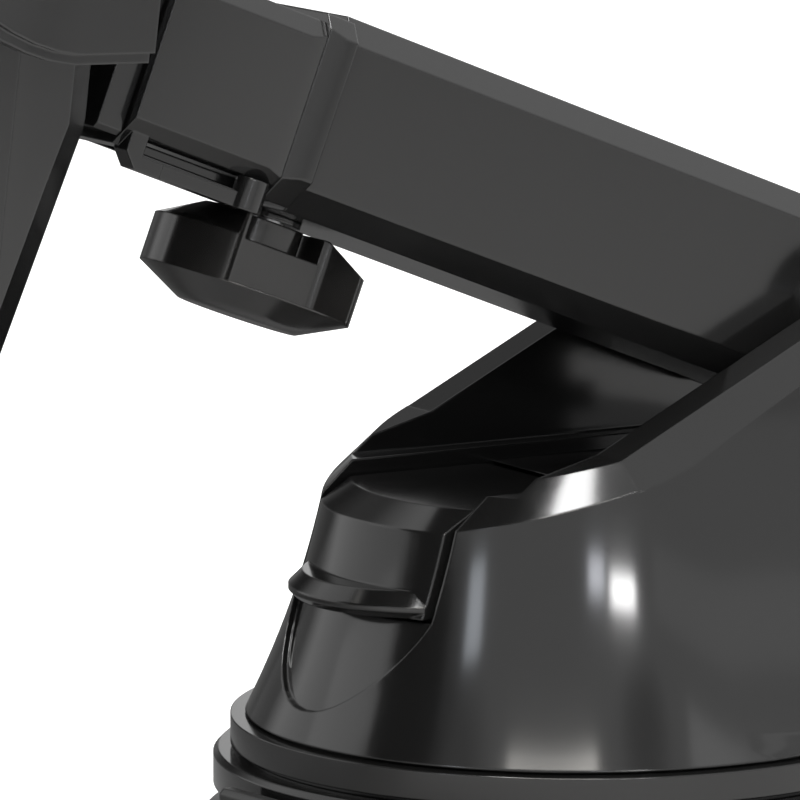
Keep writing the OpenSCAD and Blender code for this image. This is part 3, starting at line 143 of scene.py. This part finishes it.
class Graph:
    """A node tree that is written from Python."""

    def __init__(self, tree: bpy.types.NodeTree) -> None:
        """Empties the tree and keeps it.

        Args:
            tree: The tree of a material or a world.
        """
        self.tree = tree
        tree.nodes.clear()

    def node(
        self,
        kind: str,
        settings: dict[str, Any] | None = None,
        sockets: dict[str | int, Any] | None = None,
    ) -> bpy.types.Node:
        """Adds any node.

        Args:
            kind: Node type, without its ShaderNode prefix.
            settings: Properties of the node, which are set first.
            sockets: Values or links of its inputs by name or number.

        Returns:
            The new node.
        """
        made = self.tree.nodes.new("ShaderNode" + kind)
        for name, value in (settings or {}).items():
            setattr(made, name, value)
        for name, value in (sockets or {}).items():
            self.feed(made.inputs[name], value)
        return made

    def feed(self, socket: bpy.types.NodeSocket, value: Any) -> None:
        """Links a wrapped value to an input, or sets the input to a plain one.

        Args:
            socket: The input.
            value: A wrapped socket, a number or a tuple.
        """
        if isinstance(value, Value):
            self.tree.links.new(value.socket, socket)
        else:
            socket.default_value = value

    def out(self, made: bpy.types.Node, name: str | int = 0) -> Value:
        """An output of a node as a value."""
        return Value(self, made.outputs[name])

    def maths(self, operation: str, a: Number, b: Number) -> Value:
        """A Math node on two values.

        Args:
            operation: The node's operation.
            a: First operand.
            b: Second operand.

        Returns:
            The result.
        """
        return self.out(self.node("Math", {"operation": operation}, {0: a, 1: b}))

    def vector(self, operation: str, a: Any, b: Any, name: str = "Vector") -> Value:
        """A Vector Math node on two vectors.

        Args:
            operation: The node's operation.
            a: First vector.
            b: Second vector.
            name: The output that is read.

        Returns:
            The result.
        """
        return self.out(self.node("VectorMath", {"operation": operation}, {0: a, 1: b}), name)

    def mix(self, factor: Number, a: Any, b: Any) -> Value:
        """A mix of two colours.

        Args:
            factor: Share of the second colour.
            a: First colour.
            b: Second colour.

        Returns:
            The mixed colour.
        """
        made = self.node("Mix", {"data_type": "RGBA"}, {"Factor": factor})
        self.feed(made.inputs[6], a)
        self.feed(made.inputs[7], b)
        return self.out(made, 2)

    def place(self) -> Value:
        """Place of the shaded point on its object, in metres."""
        return self.out(self.node("TexCoord"), "Object")

    def noise(self, size: float, detail: float = 2.0, at: Value | None = None) -> Value:
        """Soft noise with patches of a given size.

        Args:
            size: Size of the patches in metres.
            detail: Levels of finer noise.
            at: Place that the noise is read at.

        Returns:
            Noise from 0 to 1.
        """
        place = at or self.place()
        sockets = {"Vector": place, "Scale": 1.0 / size, "Detail": detail}
        return self.out(self.node("TexNoise", None, sockets))

    def rounded_edges(self, radius: float) -> Value:
        """Normal of a surface whose edges look rounded.

        Args:
            radius: Radius of the edges in metres.

        Returns:
            The normal.
        """
        return self.out(self.node("Bevel", {"samples": EDGE_SAMPLES}, {"Radius": radius}))

    def grained(self, height: Value, strength: float, depth: float, normal: Value) -> Value:
        """Normal of a surface with a fine grain on it.

        Args:
            height: Height of the grain from 0 to 1.
            strength: Share of the grain that shows.
            depth: Depth of the grain in metres.
            normal: Normal of the surface below the grain.

        Returns:
            The normal.
        """
        sockets = {"Strength": strength, "Distance": depth, "Height": height, "Normal": normal}
        return self.out(self.node("Bump", None, sockets))

    def surface(self, channels: dict[Channel, Any]) -> None:
        """Ends the graph in a Principled surface.

        Args:
            channels: Values or links of the surface's inputs.
        """
        shader = self.node("BsdfPrincipled", None, {c.value: v for c, v in channels.items()})
        self.node("OutputMaterial", None, {"Surface": self.out(shader)})


def grey(value: float, warmth: float = 0.0) -> tuple[float, float, float, float]:
    """A grey colour, a little warm or cool.

    Args:
        value: Level of the grey.
        warmth: Share of red added and of blue taken away.

    Returns:
        The colour with full alpha.
    """
    return (value * (1 + warmth), value, value * (1 - warmth), 1.0)


@dataclass(frozen=True)
class MouldedPlastic:
    """Dark moulded plastic with a soft skin, faint flow marks and edges worn a little paler."""

    name: str
    shade: float
    roughness: float
    edge: float = 0.35 * MM
    grain: float = 0.22 * MM
    grain_depth: float = 0.0015 * MM
    grain_strength: float = 0.25
    wear: float = 0.25
    wear_reach: float = 6.0
    wear_shade: float = 2.6
    wear_roughness: float = 0.15
    warmth: float = 0.0
    flow_size: float = 9 * MM
    flow_shades: tuple[float, float] = (0.92, 1.08)
    flow_roughness: tuple[float, float] = (0.9, 0.2)
    dust_size: float = 1.4 * MM

    def material(self) -> bpy.types.Material:
        """Builds the material.

        Returns:
            The material.
        """
        made = bpy.data.materials.new(self.name)
        made.use_nodes = True
        g = Graph(made.node_tree)
        place = g.place()
        flow = g.noise(self.flow_size, 3.0, place)
        dust = g.noise(self.dust_size, 4.0, place)
        rounded = g.rounded_edges(self.edge)
        flat = g.out(g.node("NewGeometry"), "Normal")
        turned = 1.0 - g.vector("DOT_PRODUCT", rounded, flat, "Value")
        worn = (turned * self.wear_reach).clamp(0.0, 1.0) * dust * self.wear
        dark, light = (grey(self.shade * share, self.warmth) for share in self.flow_shades)
        pale = g.mix(worn, g.mix(flow, dark, light), grey(self.shade * self.wear_shade, self.warmth))
        least, spread = self.flow_roughness
        rough = self.roughness * (least + flow * spread) + worn * self.wear_roughness
        skin = g.noise(self.grain, 1.0, place)
        normal = g.grained(skin, self.grain_strength, self.grain_depth, rounded)
        g.surface({Channel.COLOUR: pale, Channel.ROUGHNESS: rough, Channel.NORMAL: normal})
        return made


@dataclass(frozen=True)
class SoftRubber:
    """Black rubber with a fine matt grain."""

    name: str
    shade: float
    roughness: float
    edge: float = 0.4 * MM
    grain: float = 0.35 * MM
    grain_depth: float = 0.02 * MM
    grain_strength: float = 0.5
    grain_roughness: float = 0.12
    cloud_size: float = 6 * MM
    cloud_shades: tuple[float, float] = (0.85, 1.2)

    def material(self) -> bpy.types.Material:
        """Builds the material.

        Returns:
            The material.
        """
        made = bpy.data.materials.new(self.name)
        made.use_nodes = True
        g = Graph(made.node_tree)
        place = g.place()
        cloud = g.noise(self.cloud_size, 3.0, place)
        pores = g.noise(self.grain, 2.0, place)
        dark, light = (grey(self.shade * share) for share in self.cloud_shades)
        rounded = g.rounded_edges(self.edge)
        g.surface({
            Channel.COLOUR: g.mix(cloud, dark, light),
            Channel.ROUGHNESS: self.roughness + pores * self.grain_roughness,
            Channel.NORMAL: g.grained(pores, self.grain_strength, self.grain_depth, rounded),
        })
        return made


@dataclass(frozen=True)
class PlatedMetal:
    """Plated or turned metal with fine tool marks."""

    name: str
    colour: Colour
    roughness: float
    edge: float = 0.2 * MM
    mark_size: float = 0.9 * MM
    mark_stretch: tuple[float, float, float] = (1.0, 1.0, 12.0)
    mark_depth: float = 0.006 * MM
    mark_strength: float = 0.3
    mark_roughness: float = 0.15
    stain_size: float = 4 * MM
    stain_shade: float = 0.8

    def material(self) -> bpy.types.Material:
        """Builds the material.

        Returns:
            The material.
        """
        made = bpy.data.materials.new(self.name)
        made.use_nodes = True
        g = Graph(made.node_tree)
        place = g.place()
        marks = g.noise(self.mark_size, 3.0, g.vector("MULTIPLY", place, self.mark_stretch))
        stain = g.noise(self.stain_size, 3.0, place)
        dark = tuple(c * self.stain_shade for c in self.colour) + (1.0,)
        rounded = g.rounded_edges(self.edge)
        g.surface({
            Channel.COLOUR: g.mix(stain, dark, self.colour + (1.0,)),
            Channel.METALLIC: 1.0,
            Channel.ROUGHNESS: self.roughness + marks * self.mark_roughness,
            Channel.NORMAL: g.grained(marks, self.mark_strength, self.mark_depth, rounded),
        })
        return made


Finish = Union[MouldedPlastic, SoftRubber, PlatedMetal]


class Finishes:
    """The finishes of the mount, each made once."""

    SHELL = MouldedPlastic("shell_plastic", 0.006, 0.125, edge=0.35 * MM)
    ARM = MouldedPlastic("arm_plastic", 0.007, 0.15, edge=0.3 * MM)
    TRIM = MouldedPlastic("trim_plastic", 0.006, 0.14, edge=0.25 * MM)
    KNOB = MouldedPlastic("knob_plastic", 0.012, 0.16, edge=0.3 * MM, warmth=0.03)
    INNER = MouldedPlastic("inner_plastic", 0.03, 0.35, edge=0.2 * MM, wear=0.1)
    PAD = SoftRubber("pad_rubber", 0.012, 0.5)
    CUP = SoftRubber("cup_rubber", 0.01, 0.26)
    STEEL = PlatedMetal("zinc_steel", (0.55, 0.55, 0.56), 0.28)

    def __init__(self) -> None:
        """Starts with no material made."""
        self.made: dict[str, bpy.types.Material] = {}

    def of(self, finish: Finish) -> bpy.types.Material:
        """The material of a finish, made when first asked for.

        Args:
            finish: The finish.

        Returns:
            Its material.
        """
        if finish.name not in self.made:
            self.made[finish.name] = finish.material()
        return self.made[finish.name]


@dataclass
class SubAssembly:
    """A group of solids of the frame that one class dresses."""

    frame: dict[str, Any]
    finishes: Finishes
    crease: float = math.radians(28)
    weld: float = 0.002 * MM

    def dress(self, node: str, finish: Finish) -> bpy.types.Object:
        """Gives a solid of the frame its finish.

        Args:
            node: Name of the solid.
            finish: Its finish.

        Returns:
            The solid's object.
        """
        solid = self.frame["nodes"][node]
        self.coat(solid, finish)
        return solid

    def coat(self, piece: bpy.types.Object, finish: Finish) -> None:
        """Gives an object its finish and smooth shading on its curved faces.

        Args:
            piece: The object.
            finish: Its finish.
        """
        piece.data.materials.clear()
        piece.data.materials.append(self.finishes.of(finish))
        weld = piece.modifiers.new("weld", "WELD")
        weld.merge_threshold = self.weld
        split = piece.modifiers.new("crease", "EDGE_SPLIT")
        split.split_angle = self.crease
        for face in piece.data.polygons:
            face.use_smooth = True
        LOG.info("dressed %s in %s", piece.name, finish.name)

    def dress_all(self, finish: Finish, nodes: Iterable[str]) -> None:
        """Gives several solids one finish.

        Args:
            finish: The finish.
            nodes: Names of the solids.
        """
        for node in nodes:
            self.dress(node, finish)


@dataclass
class SuctionBase(SubAssembly):
    """Suction cup, rings, dome and its inner works."""

    def build(self) -> None:
        """Dresses the base."""
        self.dress_all(Finishes.SHELL, ["dome_shell", "cam_lever"])
        self.dress_all(Finishes.TRIM, ["lower_ring", "trim_ring", "pivot_caps"])
        self.dress_all(Finishes.INNER, ["base_plate", "friction_washers"])
        self.dress("suction_cup", Finishes.CUP)
        self.dress_all(Finishes.STEEL, ["base_screws", "lever_pins", "pivot_bolt", "pivot_nut"])
        self.dress_all(Finishes.STEEL, ["rod_pin", "pull_rod"])


@dataclass
class TelescopicArm(SubAssembly):
    """Arm tube with its flange, clamp collar and knob, and the inner arm."""

    def build(self) -> None:
        """Dresses the arm."""
        self.dress_all(Finishes.ARM, ["arm_tube", "arm_flange", "clamp_collar", "inner_arm"])
        self.dress("clamp_knob", Finishes.KNOB)
        self.dress_all(Finishes.TRIM, ["collar_post", "clamp_insert"])
        self.dress_all(Finishes.INNER, ["hub_bushing", "arm_stop", "pressure_pad"])
        self.dress("clamp_screw", Finishes.STEEL)


@dataclass
class PhoneCradle(SubAssembly):
    """Ball joint, cradle, jaws, buttons and foot."""

    def build(self) -> None:
        """Dresses the cradle."""
        self.dress_all(Finishes.ARM, ["cradle_back", "cradle_front", "right_jaw", "left_jaw"])
        self.dress_all(Finishes.ARM, ["foot_slider", "ring_nut"])
        self.dress_all(Finishes.TRIM, ["trigger_button", "right_key", "left_key"])
        self.dress_all(Finishes.PAD, ["front_pad", "right_jaw_pad", "left_jaw_pad", "foot_pad"])
        self.dress_all(Finishes.INNER, ["ball_stud", "socket_liner", "seat_ring", "rack_pinion"])
        self.dress_all(Finishes.STEEL, ["cradle_screws", "pinion_pin"])


@dataclass(frozen=True)
class Winding:
    """Wire of a coil spring, its turns and the joint that it lies along."""

    joint: str
    wire: float
    turns: int


@dataclass
class CoilSprings(SubAssembly):
    """Wound wire springs, each in the place of a solid and along the joint of the piece that it pushes back.
    """

    windings: dict[str, Winding] = field(default_factory=lambda: {
        "rod_spring": Winding("rod_drop", 0.5 * MM, 6),
        "trigger_spring": Winding("trigger_press", 0.3 * MM, 3),
        "right_key_spring": Winding("right_key_press", 0.25 * MM, 2),
        "left_key_spring": Winding("left_key_press", 0.25 * MM, 2),
    })
    wire_sides: int = 12
    steps_per_turn: int = 36

    def build(self) -> None:
        """Winds and dresses every spring."""
        for node, winding in self.windings.items():
            self.spring(node, winding)

    def spring(self, node: str, winding: Winding) -> bpy.types.Object:
        """Winds a spring in the place of a solid, along its joint's axis, and hangs it on the joint's
        parent.

        Args:
            node: Name of the solid.
            winding: The spring's wire and turns.

        Returns:
            The spring's object.
        """
        motion = next(joint for joint in self.frame["joints"] if joint["name"] == winding.joint)
        travel = max(motion["range_m"], key=abs)
        way = Vector(motion["axis"]) * math.copysign(1.0, travel)
        side = way.orthogonal().normalized()
        to_axis = Matrix((side, way.cross(side), way))
        to_frame = to_axis.transposed()
        points = [to_axis @ corner.co for corner in self.frame["nodes"][node].data.vertices]
        low, high = ([pick(p[i] for p in points) for i in range(3)] for pick in (min, max))
        middle = Vector(((low[0] + high[0]) / 2, (low[1] + high[1]) / 2, 0.0))
        outer = max((p - middle).to_2d().length for p in points)
        wound = self.helix(outer - winding.wire, (low[2] + winding.wire, high[2] - winding.wire), winding)
        name = node + "_coil"
        mesh = bpy.data.meshes.new(name)
        mesh.from_pydata([to_frame @ (middle + p) for p in wound], [], self.wire_faces(winding))
        coil = bpy.data.objects.new(name, mesh)
        bpy.context.scene.collection.objects.link(coil)
        self.coat(coil, Finishes.STEEL)
        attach(coil, motion["parent"])
        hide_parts(node)
        keep = 1.0 - abs(travel) / (high[2] - low[2])
        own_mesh(coil)
        return coil

    def helix(self, radius: float, rise: tuple[float, float], winding: Winding) -> list[Vector]:
        """Corners of a wire wound around the third axis.

        Args:
            radius: Radius of the coil to the wire's middle.
            rise: Heights of the wire's middle at its two ends.
            winding: The wire and its turns.

        Returns:
            The corners, ring by ring.
        """
        made = []
        steps = winding.turns * self.steps_per_turn
        for step in range(steps + 1):
            share = step / steps
            a = math.tau * winding.turns * share
            height = rise[0] + (rise[1] - rise[0]) * share
            for k in range(self.wire_sides):
                b = math.tau * k / self.wire_sides
                q = radius + winding.wire * math.cos(b)
                z = height + winding.wire * math.sin(b)
                made.append(Vector((q * math.cos(a), q * math.sin(a), z)))
        return made

    def wire_faces(self, winding: Winding) -> list[tuple[int, ...]]:
        """Faces of a wound wire with closed ends.

        Args:
            winding: The wire and its turns.

        Returns:
            Numbers of the corners of each face.
        """
        n = self.wire_sides
        steps = winding.turns * self.steps_per_turn
        made: list[tuple[int, ...]] = []
        for step in range(steps):
            for k in range(n):
                here, beside = step * n + k, step * n + (k + 1) % n
                made.append((here, here + n, beside + n, beside))
        made.append(tuple(range(n)))
        made.append(tuple(steps * n + k for k in reversed(range(n))))
        return made


@dataclass(frozen=True)
class Softbox:
    """A rectangular lamp that faces the object."""

    name: str
    azimuth: float
    elevation: float
    distance: float
    size: tuple[float, float]
    radiance: float
    tint: Colour = (1.0, 1.0, 1.0)
    aim: tuple[float, float, float] = (-0.02, 0.0, 0.05)

    def build(self) -> bpy.types.Object:
        """Makes the lamp.

        Returns:
            The lamp's object.
        """
        a, e = math.radians(self.azimuth), math.radians(self.elevation)
        back = Vector((math.sin(a) * math.cos(e), -math.cos(a) * math.cos(e), math.sin(e)))
        data = bpy.data.lights.new(self.name, "AREA")
        data.shape = "RECTANGLE"
        data.size, data.size_y = self.size
        data.energy = self.radiance * math.pi * self.size[0] * self.size[1]
        data.color = self.tint
        lamp = bpy.data.objects.new(self.name, data)
        lamp.location = Vector(self.aim) + back * self.distance
        lamp.rotation_mode = "QUATERNION"
        lamp.rotation_quaternion = (-back).to_track_quat("-Z", "Y")
        bpy.context.scene.collection.objects.link(lamp)
        return lamp


@dataclass(frozen=True)
class Flag:
    """A dark card in the surroundings, given by its direction, its soft edge and its depth of shade."""

    azimuth: float
    elevation: float
    core: float
    reach: float
    shade: float

    def light(self, g: Graph, direction: Value) -> Value:
        """Share of light that the card lets through.

        Args:
            g: Graph of the surroundings.
            direction: Direction that is looked in.

        Returns:
            One away from the card, less behind it.
        """
        a, e = math.radians(self.azimuth), math.radians(self.elevation)
        middle = (math.sin(a) * math.cos(e), -math.cos(a) * math.cos(e), math.sin(e))
        near = g.vector("DOT_PRODUCT", direction, middle, "Value")
        low, high = math.cos(math.radians(self.reach)), math.cos(math.radians(self.core))
        return 1.0 - ((near - low) / (high - low)).clamp(0.0, 1.0) * self.shade


@dataclass
class Studio:
    """Camera, floor, lamps and the white surroundings."""

    camera_at: tuple[float, float, float] = (-0.43895, -0.70260, 0.17336)
    looking: tuple[float, float, float] = (0.5055, 0.8488, -0.1548)
    lens: float = 373.2
    sensor: float = 36.0
    clip: tuple[float, float] = (0.01, 50.0)
    floor_half: float = 4.0
    floor_drop: float = 0.2 * MM
    floor_roughness: float = 0.9
    ambient: float = 1.05
    floor_shade: float = 0.6
    # Grey of the floor behind the object for all but camera rays: painted shade in the object's reflections.
    floor_back_painted_shade: float = 0.04
    floor_painted_shade_span: tuple[float, float] = (-0.06, 0.08)
    floor_glow: float = 0.6
    flags: tuple[Flag, ...] = (
        Flag(-97, 20, 12, 20, 0.52),
        Flag(-92, 40, 14, 22, 0.52),
        Flag(175, 5, 14, 24, 0.8),
        Flag(168, 28, 14, 26, 0.85),
        Flag(-3, 35, 3, 9, 0.55),
    )
    lamps: tuple[Softbox, ...] = field(default_factory=lambda: (
        Softbox("overhead", -39, 48.0, 0.9, (0.46, 0.34), 12.0, (1.0, 0.97, 0.92)),
        Softbox("spot", -9.5, 18.9, 0.9, (0.16, 0.055), 42.0),
        Softbox("spot_side", -21, 17.4, 0.9, (0.1, 0.07), 15.0, (0.9, 0.93, 1.0)),
        Softbox("strip", -74, 19.5, 0.8, (0.09, 0.14), 6.2, (0.86, 0.92, 1.0)),
        Softbox("high", -112, 71, 0.9, (0.38, 0.26), 24.0),
        Softbox("low_right", 25, 18, 0.9, (0.65, 0.13), 0.35),
        Softbox("mid_right", 27, 32.5, 0.9, (0.32, 0.13), 1.0),
        Softbox("left", -128, 18, 0.9, (0.42, 0.22), 0.45),
    ))

    def build(self) -> None:
        """Makes the whole studio."""
        self.camera()
        self.floor()
        self.world()
        for lamp in self.lamps:
            lamp.build()
        bpy.context.scene.view_settings.view_transform = "Standard"

    def camera(self) -> None:
        """Makes the camera at the photograph's viewing angle."""
        data = bpy.data.cameras.new("camera")
        data.sensor_width = self.sensor
        data.lens = self.lens
        data.clip_start, data.clip_end = self.clip
        camera = bpy.data.objects.new("camera", data)
        camera.location = self.camera_at
        camera.rotation_mode = "QUATERNION"
        camera.rotation_quaternion = Vector(self.looking).to_track_quat("-Z", "Y")
        bpy.context.scene.collection.objects.link(camera)
        bpy.context.scene.camera = camera

    def floor(self) -> None:
        """Makes the white floor, which glows for the camera; for other rays it is painted dark behind the
        object, which puts painted shade into the object's reflections.
        """
        half = self.floor_half
        mesh = bpy.data.meshes.new("floor")
        square = [(-half, -half, 0), (half, -half, 0), (half, half, 0), (-half, half, 0)]
        mesh.from_pydata(square, [], [(0, 1, 2, 3)])
        floor = bpy.data.objects.new("floor", mesh)
        floor.location.z = -self.floor_drop
        bpy.context.scene.collection.objects.link(floor)
        made = bpy.data.materials.new("white_floor")
        made.use_nodes = True
        g = Graph(made.node_tree)
        seen = g.out(g.node("LightPath"), "Is Camera Ray")
        # Painted shade: for all but camera rays, the floor's colour falls from its pale grey to a dark grey
        # behind the object.
        front, back = self.floor_painted_shade_span
        depth = g.out(g.node("SeparateXYZ", None, {0: g.place()}), "Y")
        painted_shade_share = ((depth - front) / (back - front)).clamp(0.0, 1.0) * (1.0 - seen)
        shader = g.node("BsdfPrincipled", None, {
            Channel.COLOUR.value: g.mix(painted_shade_share, grey(self.floor_shade), grey(self.floor_back_painted_shade)),
            Channel.ROUGHNESS.value: self.floor_roughness,
        })
        glow = g.node("Emission", None, {"Color": (1.0, 1.0, 1.0, 1.0), "Strength": self.floor_glow})
        both = g.node("AddShader", None, {0: g.out(shader), 1: g.out(glow)})
        shown = g.node("MixShader", None, {0: seen, 1: g.out(shader), 2: g.out(both)})
        g.node("OutputMaterial", None, {"Surface": g.out(shown)})
        mesh.materials.append(made)

    def world(self) -> None:
        """Makes surroundings that look white to the camera and light the object softly."""
        world = bpy.data.worlds.new("studio")
        bpy.context.scene.world = world
        world.use_nodes = True
        g = Graph(world.node_tree)
        rays = g.node("LightPath")
        seen = g.out(rays, "Is Camera Ray") + g.out(rays, "Is Transmission Ray")
        direction = g.out(g.node("TexCoord"), "Generated")
        level = g.out(g.node("Value"))
        level.socket.default_value = self.ambient
        for flag in self.flags:
            level = level * flag.light(g, direction)
        share = seen.clamp(0.0, 1.0)
        strength = share + (1.0 - share) * level
        glow = g.node("Background", None, {"Color": (1.0, 1.0, 1.0, 1.0), "Strength": strength})
        g.node("OutputWorld", None, {"Surface": g.out(glow)})


def main() -> None:
    """Loads the frame, dresses every sub-assembly and lights the studio."""
    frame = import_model()
    Studio().build()
    finishes = Finishes()
    for assembly in (SuctionBase, TelescopicArm, PhoneCradle, CoilSprings):
        assembly(frame, finishes).build()


if __name__ == "__main__":
    main()
